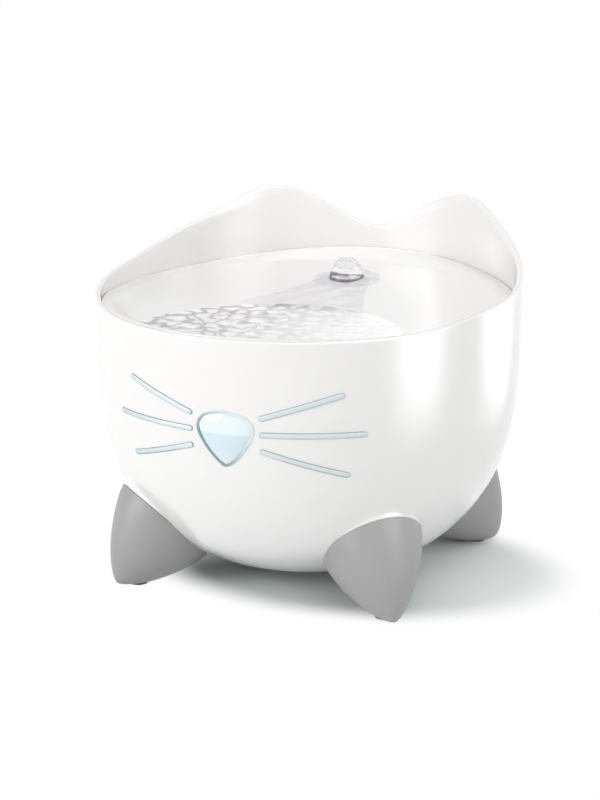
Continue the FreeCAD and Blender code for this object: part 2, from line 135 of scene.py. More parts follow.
def cut_away(piece, cutter):
    """Takes the cutter's volume out of the piece and keeps the result as the piece's own mesh."""
    step = piece.modifiers.new("opening", "BOOLEAN")
    step.operation = "DIFFERENCE"
    step.solver = "EXACT"
    step.object = cutter
    graph = bpy.context.evaluated_depsgraph_get()
    result = bpy.data.meshes.new_from_object(piece.evaluated_get(graph))
    piece.modifiers.clear()
    old = piece.data
    piece.data = result
    bpy.data.meshes.remove(old)
    bpy.data.objects.remove(cutter)
    smooth(result)


def closed_curve(points, count):
    """A smooth closed curve through the points: between b and c, with f from 0 to 1,
    b + f/2 (c - a) + f^2/2 (2a - 5b + 4c - d) + f^3/2 (3(b - c) + d - a)."""
    p = np.asarray(points, float)
    t = np.arange(count) * len(p) / count
    i = t.astype(int)
    f = (t - i)[:, None]
    a, b, c, d = (p[(i + k) % len(p)] for k in (-1, 0, 1, 2))
    return b + 0.5 * f * (c - a + f * (2 * a - 5 * b + 4 * c - d + f * (3 * (b - c) + d - a)))


# %% [markdown]
# ## Materials
#
# Moulded plastic is never one flat colour. Each recipe below starts from a principled shader, sets its
# plain numbers on the shader itself, and adds a faint mottle and a fine bump read from the object's
# coordinates.

# %% Material helpers
MOTTLE_SPAN = (0.3, 0.7)
COAT_ROUGHNESS = 0.14
EDGE_ON = 0.95
WHITE = (1.0, 1.0, 1.0)


def new_material(name):
    material = bpy.data.materials.new(name)
    material.use_nodes = True
    return material, material.node_tree, material.node_tree.nodes["Principled BSDF"]


def colour_ramp(tree, stops):
    """A ramp of colours with one stop for each (position, colour)."""
    ramp = tree.nodes.new("ShaderNodeValToRGB")
    for _ in stops[2:]:
        ramp.color_ramp.elements.new(0.5)
    for stop, (at, colour) in zip(ramp.color_ramp.elements, stops):
        stop.position = at
        stop.color = (*colour, 1.0)
    return ramp


def range_node(tree, low, high, smoothed=False):
    """Carries the values from low to high onto zero to one, along an S if smoothed."""
    node = tree.nodes.new("ShaderNodeMapRange")
    node.interpolation_type = "SMOOTHSTEP" if smoothed else "LINEAR"
    node.inputs["From Min"].default_value, node.inputs["From Max"].default_value = low, high
    return node


def math_node(tree, operation, *terms):
    """The result of one sum; each of its terms is a plain number or another node's output."""
    node = tree.nodes.new("ShaderNodeMath")
    node.operation = operation
    for socket, term in zip(node.inputs, terms):
        if isinstance(term, float):
            socket.default_value = term
        else:
            tree.links.new(term, socket)
    return node


def object_noise(tree, scale, detail=3.0):
    where = tree.nodes.new("ShaderNodeTexCoord")
    noise = tree.nodes.new("ShaderNodeTexNoise")
    noise.inputs["Scale"].default_value = scale
    noise.inputs["Detail"].default_value = detail
    tree.links.new(where.outputs["Object"], noise.inputs["Vector"])
    return noise


def mottle(tree, shader, colour, amount, scale):
    """The colour, lighter and darker by amount, drifting over the surface at the given scale."""
    noise = object_noise(tree, scale)
    shades = [[min(1.0, c * share) for c in colour] for share in (1.0 - amount, 1.0 + amount)]
    ramp = colour_ramp(tree, list(zip(MOTTLE_SPAN, shades)))
    tree.links.new(noise.outputs["Fac"], ramp.inputs["Fac"])
    tree.links.new(ramp.outputs["Color"], shader.inputs["Base Color"])


def fine_bump(tree, shader, scale, depth):
    noise = object_noise(tree, scale, 4.0)
    bump = tree.nodes.new("ShaderNodeBump")
    bump.inputs["Strength"].default_value = 1.0
    bump.inputs["Distance"].default_value = depth
    tree.links.new(noise.outputs["Fac"], bump.inputs["Height"])
    tree.links.new(bump.outputs["Normal"], shader.inputs["Normal"])


def plastic(name, colour, rough, coat=0.0, mottled=0.01, mottle_scale=14.0, bump_scale=900.0, bump_depth=2e-6,
            metal=0.0):
    material, tree, shader = new_material(name)
    shader.inputs["Roughness"].default_value = rough
    shader.inputs["Coat Weight"].default_value = coat
    shader.inputs["Coat Roughness"].default_value = COAT_ROUGHNESS
    shader.inputs["Metallic"].default_value = metal
    mottle(tree, shader, colour, mottled, mottle_scale)
    fine_bump(tree, shader, bump_scale, bump_depth)
    return material


def clear(name, colour, rough, index, body=0.0):
    """See-through stuff that lets lamp light pass, so that what lies behind it isn't black."""
    material, tree, shader = new_material(name)
    shader.inputs["Base Color"].default_value = (*colour, 1.0)
    shader.inputs["Roughness"].default_value = rough
    shader.inputs["IOR"].default_value = index
    shader.inputs["Transmission Weight"].default_value = 1.0 - body
    passing = tree.nodes.new("ShaderNodeBsdfTransparent")
    passing.inputs["Color"].default_value = (*[0.5 + 0.5 * c for c in colour], 1.0)
    path = tree.nodes.new("ShaderNodeLightPath")
    mix = tree.nodes.new("ShaderNodeMixShader")
    tree.links.new(path.outputs["Is Shadow Ray"], mix.inputs["Fac"])
    tree.links.new(shader.outputs["BSDF"], mix.inputs[1])
    tree.links.new(passing.outputs["BSDF"], mix.inputs[2])
    tree.links.new(mix.outputs["Shader"], tree.nodes["Material Output"].inputs["Surface"])
    return material, tree, shader


def painted_edge_shade_tint(tree, shader, front, edge, start=0.45):
    """Painted shade at the edges: one colour where the surface faces the eye and another where it turns away
    and bends light more.
    """
    weight = tree.nodes.new("ShaderNodeLayerWeight")
    weight.inputs["Blend"].default_value = 0.5
    ramp = colour_ramp(tree, [(start, front), (EDGE_ON, edge)])
    tree.links.new(weight.outputs["Facing"], ramp.inputs["Fac"])
    tree.links.new(ramp.outputs["Color"], shader.inputs["Base Color"])


def dress(piece, material):
    piece.data.materials.clear()
    piece.data.materials.append(material)


# %% Finishes of the fountain
INLAY_TINT = (0.80, 0.88, 0.92)
PLASTIC_INDEX = 1.49
WATER_TINT = (0.97, 0.985, 0.99)
WATER_INDEX = 1.333
shell_white = plastic("polished_shell_white", (0.90, 0.876, 0.873), 0.25, coat=1.0, mottled=0.004)
dish_white = plastic("polished_dish_white", (0.90, 0.895, 0.89), 0.24, coat=0.8, mottled=0.004)
foot_grey = plastic("satin_foot_grey", (0.37, 0.36, 0.36), 0.42, mottled=0.02, bump_scale=2600,
                    bump_depth=1.2e-5)
# Painted shade: a near-black finish for the fittings round the spout, standing in for the shade inside the
# bore.
painted_shade_spout = plastic("painted_shade_spout_dark", (0.16, 0.14, 0.16), 0.5, mottled=0.05)
pad_rubber = plastic("foot_pad_rubber", (0.16, 0.16, 0.16), 0.75, mottled=0.08, bump_depth=2e-5)
seal_grey = plastic("clear_grey_silicone", (0.50, 0.58, 0.60), 0.35, mottled=0.03)
basket_grey = plastic("satin_basket_grey", (0.62, 0.63, 0.64), 0.45, mottled=0.02, bump_depth=8e-6)
pump_white = plastic("satin_pump_white", (0.70, 0.71, 0.72), 0.42, mottled=0.02, bump_depth=8e-6)
cup_rubber = plastic("milky_cup_rubber", (0.66, 0.68, 0.68), 0.5, mottled=0.04)
core_steel = plastic("stacked_core_steel", (0.42, 0.42, 0.43), 0.38, mottled=0.12, mottle_scale=60, metal=1.0)
coil_copper = plastic("enamelled_copper", (0.62, 0.26, 0.12), 0.3, coat=0.5, mottled=0.15, mottle_scale=90,
                      metal=1.0)
ceramic = plastic("polished_ceramic", (0.85, 0.84, 0.80), 0.12, mottled=0.01)
magnet_dark = plastic("sintered_magnet", (0.05, 0.05, 0.055), 0.6, mottled=0.2, mottle_scale=200,
                      bump_depth=2e-5)
filter_fibre = plastic("needled_filter_fibre", (0.80, 0.81, 0.79), 0.95, mottled=0.08, mottle_scale=240,
                       bump_scale=1400, bump_depth=4e-4)
clear_inlay, tree, shader = clear("clear_pale_inlay", INLAY_TINT, 0.10, PLASTIC_INDEX, body=0.85)
# Painted shade: the inlay darkens where it turns away from the eye.
painted_edge_shade_tint(tree, shader, (0.76, 0.83, 0.86), (0.30, 0.40, 0.43), 0.35)
# Painted shade: a darker finish for the flanks of the whisker bars.
inlay_edge_painted_shade = plastic("painted_shade_inlay_edge", (0.26, 0.35, 0.37), 0.3, mottled=0.05)
clear_led, _, _ = clear("clear_led", (0.80, 0.90, 1.0), 0.05, 1.5)
still_water, _, _ = clear("still_water", WATER_TINT, 0.0, WATER_INDEX)
running_water, tree, shader = clear("running_water", WATER_TINT, 0.0, WATER_INDEX)
# Painted shade: the running water greys where it turns away from the eye.
painted_edge_shade_tint(tree, shader, (0.93, 0.925, 0.935), (0.40, 0.38, 0.42), 0.4)

# %% [markdown]
# Ripples focus light into white cells with grey lines between them; here that light is painted into the
# water's colour. The pattern is the distance to the nearest edge of a Voronoi diagram, its places shifted by
# noise, and it fades towards the right.

# %% Pool caustics, painted into the water's colour
NET_SCALE = 84.0
NET_WARP = 0.022
NET_WARP_SCALE = 55.0
NET_LINE = (0.02, 0.26)
NET_FADE = (-0.035, 0.045)
CAUSTIC_LINE_GREY = (0.30, 0.28, 0.32)


def painted_caustic_net(name):
    """Pool water with painted caustics: white where the distance to a cell's edge passes NET_LINE, grey along
    the edge itself.
    """
    material, tree, shader = clear(name, WATER_TINT, 0.0, WATER_INDEX)
    where = tree.nodes.new("ShaderNodeTexCoord")
    warp = object_noise(tree, NET_WARP_SCALE, 2.0)
    shift = tree.nodes.new("ShaderNodeVectorMath")
    shift.operation = "MULTIPLY_ADD"
    shift.inputs[1].default_value = (NET_WARP, NET_WARP, 0.0)
    cells = tree.nodes.new("ShaderNodeTexVoronoi")
    cells.feature = "DISTANCE_TO_EDGE"
    cells.voronoi_dimensions = "2D"
    cells.inputs["Scale"].default_value = NET_SCALE
    edge = range_node(tree, *NET_LINE, smoothed=True)
    split = tree.nodes.new("ShaderNodeSeparateXYZ")
    fade = range_node(tree, *NET_FADE)
    strongest = math_node(tree, "MAXIMUM", edge.outputs["Result"], fade.outputs["Result"])
    colour = colour_ramp(tree, [(0.0, CAUSTIC_LINE_GREY), (1.0, WHITE)])
    tree.links.new(warp.outputs["Color"], shift.inputs[0])
    tree.links.new(where.outputs["Object"], shift.inputs[2])
    tree.links.new(shift.outputs["Vector"], cells.inputs["Vector"])
    tree.links.new(cells.outputs["Distance"], edge.inputs["Value"])
    tree.links.new(where.outputs["Object"], split.inputs["Vector"])
    tree.links.new(split.outputs["X"], fade.inputs["Value"])
    tree.links.new(strongest.outputs["Value"], colour.inputs["Fac"])
    tree.links.new(colour.outputs["Color"], shader.inputs["Base Color"])
    return material


pool_painted_caustics = painted_caustic_net("pool_water_painted_caustics")
print("materials:", len(bpy.data.materials))

# %% [markdown]
# ## Pieces that keep their shape from the frame
#
# Small hard pieces inside the bowl already have their true shape. They only need a finish that says what
# they are: satin housing, stacked steel, enamelled copper, milky rubber.

# %% Finish the carried-over pieces
FINISH_OF_SLOT = {
    "pad_rubber": pad_rubber, "seal_grey": seal_grey, "basket_grey": basket_grey, "pump_white": pump_white,
    "cup_rubber": cup_rubber, "core_steel": core_steel, "coil_copper": coil_copper, "ceramic": ceramic,
    "magnet_dark": magnet_dark, "led_clear": clear_led, "foot_grey": foot_grey, "shell_white": shell_white,
    "tray_white": dish_white, "clear_inlay": clear_inlay, "filter_foam": filter_fibre,
}
slot_of = {entry["node"]: entry["material_slot"] for entry in frame["record"]["subparts"]}
for node_name, node in frame["nodes"].items():
    node.data.materials.clear()
    node.data.materials.append(FINISH_OF_SLOT[slot_of[node_name]])
print("finished nodes:", len(slot_of))

# %% [markdown]
# ## The bowl
#
# The belly is a turned curve: at each height the radius is a power law of how far that height lies below
# the widest ring. The rim is the same ring carried up to an outline that climbs into two ears at the back.
# One grid runs from the middle of the underside, up the outside, over the lip and down the inside. Its rows
# crowd together towards the bottom, where the wall bends most.

# %% Bowl sizes
BOWL_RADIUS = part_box("bowl_shell")[1].x / MM
BASE = 7.4
WIDEST = 150.0
BELLY_DEPTH = WIDEST - BASE + 4.8
BELLY_POWER = 2.95
ROUND_POWER = 2.52
WALL = 3.5
RIM = 161.0
LIP_ROUND = 1.2
LEDGE_TOP = 151.6
LEDGE_WIDTH = 3.2
LEDGE_DEPTH = 4.0
RIM_OUTLINE = [(0, 0.0), (30, 0.5), (52, 2.5), (72, 7.2), (90, 10.8), (104, 17.0), (118, 26.8),
               (129, 34.8), (138, 44.0), (144, 48.6), (150, 49.8), (156, 47.6), (164, 39.8), (172, 30.6)]
SADDLE = 25.5
print("bowl radius from the frame:", round(BOWL_RADIUS, 2), "mm")


# %% Bowl curves
def belly_radius(z):
    """Widest radius times (1 - share^p)^(1/q), where share is the depth below the widest ring."""
    share = np.clip((WIDEST - np.asarray(z, float)) / BELLY_DEPTH, 0.0, 1.0)
    return BOWL_RADIUS * (1.0 - share ** BELLY_POWER) ** (1.0 / ROUND_POWER)


def skin_radius(z, offset):
    """The belly pushed out by offset, square to the wall."""
    slope = (belly_radius(z) - belly_radius(np.asarray(z) - 0.05)) / 0.05
    return belly_radius(z) + offset * np.sqrt(1.0 + np.minimum(slope, 6.0) ** 2)


def rim_height(angles):
    """Rim height at each angle from the front: a natural cubic through the outline's points."""
    side = [(a, RIM + rise) for a, rise in RIM_OUTLINE]
    trip = side + [(180, RIM + SADDLE)] + [(360 - a, z) for a, z in reversed(side[1:])]
    trip = [(a - 360, z) for a, z in trip[-4:]] + trip + [(a + 360, z) for a, z in trip[:4]]
    x, y = np.array(trip, float).T
    step = np.diff(x)
    rate = np.diff(y) / step
    system = np.eye(len(x))
    known = np.zeros(len(x))
    inner = np.arange(1, len(x) - 1)
    system[inner, inner - 1] = step[:-1]
    system[inner, inner] = 2.0 * (step[:-1] + step[1:])
    system[inner, inner + 1] = step[1:]
    known[1:-1] = 6.0 * np.diff(rate)
    bend = np.linalg.solve(system, known)
    a = np.degrees(angles) % 360
    i = np.clip(np.searchsorted(x, a) - 1, 0, len(step) - 1)
    h, u, v = step[i], x[i + 1] - a, a - x[i]
    return ((bend[i] * u ** 3 + bend[i + 1] * v ** 3) / (6 * h)
            + (y[i] / h - bend[i] * h / 6) * u + (y[i + 1] / h - bend[i + 1] * h / 6) * v)


def turned_grid(radius, height, angles):
    """Points at radius and height (rows by angles), turned about the bowl's axis from the front."""
    radius = radius + 0 * height
    return np.stack([radius * np.sin(angles), -radius * np.cos(angles), height], axis=-1)


# %% [markdown]
# ## Legs
#
# Each leg is a slanted cone that leaves the bowl at 45 degrees. Its root is a white hood that grows out of
# the bowl, and a grey foot continues it to a rounded tip that is flat where it stands. The hood is blended
# into the belly by pushing the bowl's own grid out with a smooth maximum of the two surfaces.

# %% Leg sizes and directions
LEG_ANGLES = {"front_left": -43.9, "front_right": 43.9, "rear_left": -127.3, "rear_right": 127.3}
LEG_REACH = 92.5
LEG_HEIGHT = 36.5
HALF_TALL = 32.8
HALF_WIDE = 28.5
FOOT_LENGTH = 46.5
FOOT_LEAN = 0.058
HOOD_FLARE = 0.25
HOOD_SPREAD = math.radians(24)
HOOD_LIP = 1.6
HOOD_STATIONS = (-0.5, -6.0, -9.0)
HOOD_BLEND = 3.0
PAD = 0.8
TILT = math.sqrt(0.5)
HIDDEN_HOOD = 3.0
HIDDEN_FOOT = 2.5


def leg_points(across, along_face, down_leg, angle):
    """From a leg's own axes to the frame: along_face climbs the joint face, down_leg points to the tip."""
    out = TILT * (along_face + down_leg) + LEG_REACH
    high = TILT * (along_face - down_leg) + LEG_HEIGHT
    turn = math.radians(angle)
    x = out * math.sin(turn) + across * math.cos(turn)
    y = -out * math.cos(turn) + across * math.sin(turn)
    return np.stack([x, y, high], axis=-1)


def leg_grid(scale, down_leg, angle, columns=144):
    """Ellipses about the leg's axis, one for each scale and distance down the leg."""
    turn = np.linspace(0, 2 * np.pi, columns, endpoint=False)
    scale, down = np.asarray(scale, float)[:, None], np.asarray(down_leg, float)[:, None]
    face = scale * HALF_TALL * np.cos(turn) - FOOT_LEAN * np.maximum(down, 0)
    return leg_points(scale * HALF_WIDE * np.sin(turn), face, down + 0 * turn, angle)


def hood_scale(down):
    """The hood is a cone: its scale beside the joint's ellipse grows by HOOD_FLARE times the way back."""
    return 1.0 - HOOD_FLARE * down / HALF_TALL


def hood_reach(z, angles):
    """How far out each hood reaches at height z and angle: the last point of the ray inside its cone."""
    steps = np.arange(-3.0, 12.0, 0.15)
    best = np.zeros(z.shape)
    base = belly_radius(z)
    for angle in LEG_ANGLES.values():
        off = np.angle(np.exp(1j * (angles - math.radians(angle))))
        near = np.abs(off) < HOOD_SPREAD
        r = base[:, near, None] + steps
        u, t = r * np.cos(off[near])[:, None] - LEG_REACH, r * np.sin(off[near])[:, None]
        face, down = TILT * (u + z[:, near, None] - LEG_HEIGHT), TILT * (u - z[:, near, None] + LEG_HEIGHT)
        wide = hood_scale(down) - 0.01
        inside = (down < -HOOD_LIP) & ((face / HALF_TALL) ** 2 + (t / HALF_WIDE) ** 2 < wide ** 2)
        reach = np.where(inside, r, 0.0).max(axis=-1)
        best[:, near] = np.maximum(best[:, near], reach)
    return best


def keep_in_wall(grid, depth):
    """Moves points that would reach into the bowl's hollow out to the wall, depth below its outer face."""
    out = np.maximum(np.hypot(grid[..., 0], grid[..., 1]), 1.0)
    grid[..., :2] *= np.maximum(skin_radius(grid[..., 2], -depth) / out, 1.0)[..., None]
    return grid


def smooth_maximum(a, b, width):
    """The larger of two values, rounded over where they are within width of each other."""
    near = np.maximum(width - np.abs(a - b), 0.0) / width
    return np.maximum(a, b) + near * near * width / 4.0


# %% Build the bowl
COLUMNS = 480
BELLY_ROWS = 84
INNER_ROWS = 26
INNER_TOP = WIDEST - 12.0
OUTER_CROWDING, INNER_CROWDING = 1.5, 1.6
around = np.linspace(0, 2 * np.pi, COLUMNS, endpoint=False)
top = rim_height(around)
level = np.ones((1, COLUMNS))


def rows_of(values):
    return np.asarray(values, float)[:, None] * level


climb = rows_of(BASE + (WIDEST - BASE) * np.linspace(0, 1, BELLY_ROWS) ** OUTER_CROWDING)
out_radius = smooth_maximum(belly_radius(climb), hood_reach(climb, around), HOOD_BLEND)
share = np.linspace(0, 1, 12)[1:, None]
wall_rise = WIDEST + (top - LIP_ROUND - WIDEST) * share
quarter = np.linspace(0, np.pi / 2, 5)[1:, None]
inside = BOWL_RADIUS - WALL
lip_out = (BOWL_RADIUS - LIP_ROUND * (1 - np.cos(quarter)) + 0 * top, top - LIP_ROUND * (1 - np.sin(quarter)))
back = quarter[::-1] - quarter[0]
lip_in = (inside + LIP_ROUND * (1 - np.cos(back)) + 0 * top, top - LIP_ROUND * (1 - np.sin(back)))
drop = (top - LIP_ROUND) + (LEDGE_TOP - top + LIP_ROUND) * share
ledge_radius = inside - LEDGE_WIDTH
ledge = [(ledge_radius, LEDGE_TOP), (ledge_radius, LEDGE_TOP - LEDGE_DEPTH),
         (inside, LEDGE_TOP - LEDGE_DEPTH - LEDGE_WIDTH)]
floor_top = BASE + WALL
sink = rows_of(floor_top + (INNER_TOP - floor_top) * np.linspace(1, 0, INNER_ROWS) ** INNER_CROWDING)
shell_rows = [
    (0.0, rows_of([BASE])), (belly_radius(BASE) * 0.5, rows_of([BASE])), (out_radius, climb),
    (BOWL_RADIUS, wall_rise), lip_out, lip_in, (inside, drop),
    *[(radius, rows_of([z])) for radius, z in ledge], (skin_radius(sink, -WALL), sink),
    (0.0, rows_of([floor_top])),
]
shell_grid = np.vstack([turned_grid(radius, height, around) for radius, height in shell_rows])
hood_rows = [(0, 0), (0.985, 0), (0.995, -0.15), *[(hood_scale(down), down) for down in HOOD_STATIONS],
             (0, HOOD_STATIONS[-1])]
hood_grids = [leg_grid(*zip(*hood_rows), angle) for angle in LEG_ANGLES.values()]
for grid in hood_grids:
    keep_in_wall(grid[-2:], HIDDEN_HOOD)
bowl = piece_from_grids("bowl_skin", [shell_grid] + hood_grids)

# %% [markdown]
# ## The nose window
#
# A rounded triangle is let into the front wall so that the water level can be read. Its pane is milky clear
# plastic, bulged like a lens, and the colour changes at the water's surface. The same outline, carried
# straight back, makes the opening in the bowl. A round hole in the rear wall, as wide as the cord gland's
# body, is cut along with it.

# %% Nose outline and the two openings
NOSE_TIP = 90.8
NOSE_HALF = [(4.2, 2.2), (8.8, 6.9), (14.0, 14.5), (16.5, 22.2), (14.4, 27.0), (10.6, 29.6), (4.0, 31.1)]
NOSE_TOP = 31.5
GASKET = 1.4
NOSE_MIDDLE = 18.0
LENS_PROUD = 0.6
LENS_BULGE = 1.3
LENS_POWER = 2.4
LENS_EDGE = 0.35
LENS_BACK = 0.1
nose_points = [(0, 0.0)] + NOSE_HALF + [(0, NOSE_TOP)] + [(-x, z) for x, z in reversed(NOSE_HALF)]
NOSE_COLUMNS = 128
nose_rim = closed_curve(nose_points, NOSE_COLUMNS) + (0, NOSE_TIP)
nose_middle = np.array([0.0, NOSE_TIP + NOSE_MIDDLE])


def inset_rim(inset):
    """The rim moved inwards by inset, square to itself: each point slides along the turned tangent."""
    along = np.roll(nose_rim, -1, axis=0) - np.roll(nose_rim, 1, axis=0)
    along /= np.linalg.norm(along, axis=1)[:, None]
    return nose_rim + inset * np.stack([-along[:, 1], along[:, 0]], axis=1)


def on_front(flat, offset):
    """Points (x, z) of the front view carried straight back onto the belly pushed out by offset."""
    x, z = flat[..., 0], flat[..., 1]
    return np.stack([x, -np.sqrt(skin_radius(z, offset) ** 2 - x ** 2), z], axis=-1)


def straight_back(flat, depth):
    return np.stack([flat[:, 0], np.full(len(flat), -depth), flat[:, 1]], axis=-1)


def prism(rim, near, far):
    """A closed prism from front to back: the outline at two depths, drawn in to its middle at each end."""
    middle = np.broadcast_to(rim.mean(axis=0), rim.shape)
    return np.stack([straight_back(middle, near), straight_back(rim, near), straight_back(rim, far),
                     straight_back(middle, far)])


GLAND_HOLE = 5.55
CUT_FROM, CUT_TO = 100.0, 140.0
gland_low, gland_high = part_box("cable_gland")
gland_turn = np.linspace(0, 2 * np.pi, 64, endpoint=False)
gland_height = (gland_low.z + gland_high.z) / 2 / MM
gland_rim = GLAND_HOLE * np.column_stack([np.cos(gland_turn), np.sin(gland_turn)]) + (0, gland_height)
openings = [prism(nose_rim, CUT_TO, CUT_FROM), prism(gland_rim, -CUT_FROM, -CUT_TO)]
cut_away(bowl, piece_from_grids("bowl_openings", openings))
dress(bowl, shell_white)
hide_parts("bowl_shell")
print("bowl faces after the openings are cut:", len(bowl.data.polygons))

# %% Nose pane
pane_rim = inset_rim(GASKET)
pane_share = np.sin(np.linspace(0, np.pi / 2, 14))


def pane_ring(share, offset):
    return on_front(nose_middle + (pane_rim - nose_middle) * share, offset)


lens = LENS_PROUD + LENS_BULGE * (1 - pane_share ** LENS_POWER) - LENS_EDGE * pane_share ** 8
front = [pane_ring(s, offset) for s, offset in zip(pane_share, lens)]
side = [pane_ring(1.0, LENS_PROUD - LENS_EDGE + depth) for depth in (-LENS_EDGE, -WALL)]
rear = [pane_ring(s, -WALL - LENS_BACK) for s in pane_share[::-1]]
pane = piece_from_grids("nose_pane", [np.stack(front + side + rear)])

# %% [markdown]
# The pane's colour is read from its height: deep and bluish below the water line, standing in for the water
# seen through it, paler above, with a painted highlight as a thin bright meniscus between them. Height is the
# object's own Z, so the line stays put from every side.

# %% Nose finish
WATER_LINE = 110.0
MENISCUS_HIGHLIGHT = 0.03
pane_clear, tree, shader = clear("nose_pane_clear", INLAY_TINT, 0.12, PLASTIC_INDEX, body=0.93)
shader.inputs["Coat Weight"].default_value = 1.0
where = tree.nodes.new("ShaderNodeTexCoord")
split = tree.nodes.new("ShaderNodeSeparateXYZ")
to_share = range_node(tree, NOSE_TIP * MM, (NOSE_TIP + NOSE_TOP) * MM)
line = (WATER_LINE - NOSE_TIP) / NOSE_TOP
# Painted highlight: the bright stops just above the water line.
ramp = colour_ramp(tree, [
    (0.0, (0.84, 0.92, 0.94)), (0.3, (0.72, 0.84, 0.91)), (line - MENISCUS_HIGHLIGHT, (0.70, 0.83, 0.91)),
    (line, (0.84, 0.93, 0.97)), (line + MENISCUS_HIGHLIGHT, (0.88, 0.96, 1.0)), (1.0, (0.80, 0.90, 0.95)),
])
tree.links.new(where.outputs["Object"], split.inputs["Vector"])
tree.links.new(split.outputs["Z"], to_share.inputs["Value"])
tree.links.new(to_share.outputs["Result"], ramp.inputs["Fac"])
tree.links.new(ramp.outputs["Color"], shader.inputs["Base Color"])
dress(pane, pane_clear)
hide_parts("nose_lens")

# %% [markdown]
# The seal round the pane is painted with shade: dark at the lower left, where it is seen from inside its
# curve, and pale at the upper right. A slanted gradient over its own box paints that.

# %% Nose seal
SEAL_LEAN = 0.7
SEAL_PAINTED_SHADE_STOPS = [(0.25, (0.22, 0.33, 0.36)), (0.75, (0.74, 0.84, 0.87))]
seal_low, seal_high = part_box("nose_gasket")
nose_seal_painted_shade, tree, shader = new_material("nose_seal_painted_shade")
shader.inputs["Roughness"].default_value = 0.3
where = tree.nodes.new("ShaderNodeTexCoord")
lean = tree.nodes.new("ShaderNodeVectorMath")
lean.operation = "DOT_PRODUCT"
lean.inputs[1].default_value = (1.0, 0.0, SEAL_LEAN)
across = range_node(tree, seal_low.x + SEAL_LEAN * seal_low.z, seal_high.x + SEAL_LEAN * seal_high.z)
# Painted shade: dark at the lower left, pale at the upper right.
ramp = colour_ramp(tree, SEAL_PAINTED_SHADE_STOPS)
tree.links.new(where.outputs["Object"], lean.inputs[0])
tree.links.new(lean.outputs["Value"], across.inputs["Value"])
tree.links.new(across.outputs["Result"], ramp.inputs["Fac"])
tree.links.new(ramp.outputs["Color"], shader.inputs["Base Color"])
frame["nodes"]["nose_gasket"].data.materials[0] = nose_seal_painted_shade

# %% [markdown]
# ## Whiskers
#
# Six clear bars are let into the wall, three each side. Each is a loop carried along a straight line in the
# front view: a half ellipse outside and inside, with rounded ends. The numbers give each bar's outer end and
# inner end, as an angle from the front and a height. The flanks of a bar get a darker finish than its face,
# as painted shade.

# %% Whisker bars
WHISKERS = {
    "upper": (29.2, 132.4, 9.6, 119.5),
    "middle": (34.9, 110.6, 9.7, 110.3),
    "lower": (31.0, 87.8, 9.8, 100.8),
}
WHISKER_HALF = 1.65
WHISKER_DEPTH = 1.35
WHISKER_PROUD = 0.95
EDGE_FACING = 0.80


def whisker_grid(sign, outer_angle, outer_z, inner_angle, inner_z):
    """Loops across the bar: half width W sqrt(1 - over^2) past its ends, height W sin(turn)."""
    first = np.array([belly_radius(inner_z) * math.sin(math.radians(inner_angle)), inner_z])
    last = np.array([belly_radius(outer_z) * math.sin(math.radians(outer_angle)), outer_z])
    run = np.linalg.norm(last - first)
    along = (last - first) / run
    cap = WHISKER_HALF * (1 - np.cos(np.linspace(0, np.pi / 2, 7)))
    s = np.concatenate([cap - WHISKER_HALF, np.linspace(0, run, 40)[1:-1], run + WHISKER_HALF - cap[::-1]])
    over = np.maximum(np.maximum(-s, s - run), 0.0) / WHISKER_HALF
    width = WHISKER_HALF * np.sqrt(np.maximum(1 - over ** 2, 0.0))
    turn = np.linspace(0, 2 * np.pi, 20, endpoint=False)
    across = width[:, None] * np.cos(turn)
    rise = np.where(np.sin(turn) > 0, WHISKER_PROUD, WHISKER_DEPTH) * np.sin(turn)
    rise = rise * (width[:, None] / WHISKER_HALF)
    flat = first + s[:, None, None] * along + across[..., None] * np.array([-along[1], along[0]])
    grid = on_front(flat, rise)
    grid[..., 0] *= sign
    return grid


def face_vectors(mesh, what):
    values = np.empty(len(mesh.polygons) * 3)
    mesh.polygons.foreach_get(what, values)
    return values.reshape(-1, 3)


def paint_shade_on_flanks(bar):
    """Gives the second finish, a painted shade, to faces whose normal turns away from the bowl's own outward
    direction.
    """
    out = face_vectors(bar.data, "center")[:, :2]
    out = out / np.linalg.norm(out, axis=1)[:, None]
    facing = (face_vectors(bar.data, "normal")[:, :2] * out).sum(axis=1)
    bar.data.polygons.foreach_set("material_index", (facing < EDGE_FACING).astype(np.int32))


for row, ends in WHISKERS.items():
    for column, sign in (("left", -1), ("right", 1)):
        bar = piece_from_grids("whisker_bar_" + row + "_" + column, [whisker_grid(sign, *ends)])
        dress(bar, clear_inlay)
        bar.data.materials.append(inlay_edge_painted_shade)
        paint_shade_on_flanks(bar)
        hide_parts("whisker_" + row + "_" + column)

# %% [markdown]
# ## Feet
#
# A foot is a stack of ellipses down the leg. Its width follows W (1 - t^p)^q, which starts straight at the
# joint and rounds off at the tip, and the axis droops a little. The sole is pressed flat at the pad's height.

# %% Build the feet
FOOT_POWERS = (1.3, 0.7)
t = 1 - (1 - np.linspace(0, 1, 44)) ** 2
taper = (1 - t ** FOOT_POWERS[0]) ** FOOT_POWERS[1]
foot_scale = np.concatenate([[0.0, 0.975, 0.992], taper * np.where(t > 0, 1.0, 0.999)])
foot_down = np.concatenate([[0.05, 0.05, 0.15], np.maximum(t * FOOT_LENGTH, 0.45)])
for name, angle in LEG_ANGLES.items():
    grid = keep_in_wall(leg_grid(foot_scale, foot_down, angle, 96), HIDDEN_FOOT)
    grid[..., 2] = np.maximum(grid[..., 2], PAD)
    foot = piece_from_grids("foot_cap_" + name, [grid])
    dress(foot, foot_grey)
    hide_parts("foot_" + name)

# %% [markdown]
# ## The drinking dish
#
# The dish is one height for every place on a disc. Round the pool it rises like a shallow bowl, behind the
# pool it becomes a slope up to the back, and at its rim a soft wall lifts it to the flat lip.

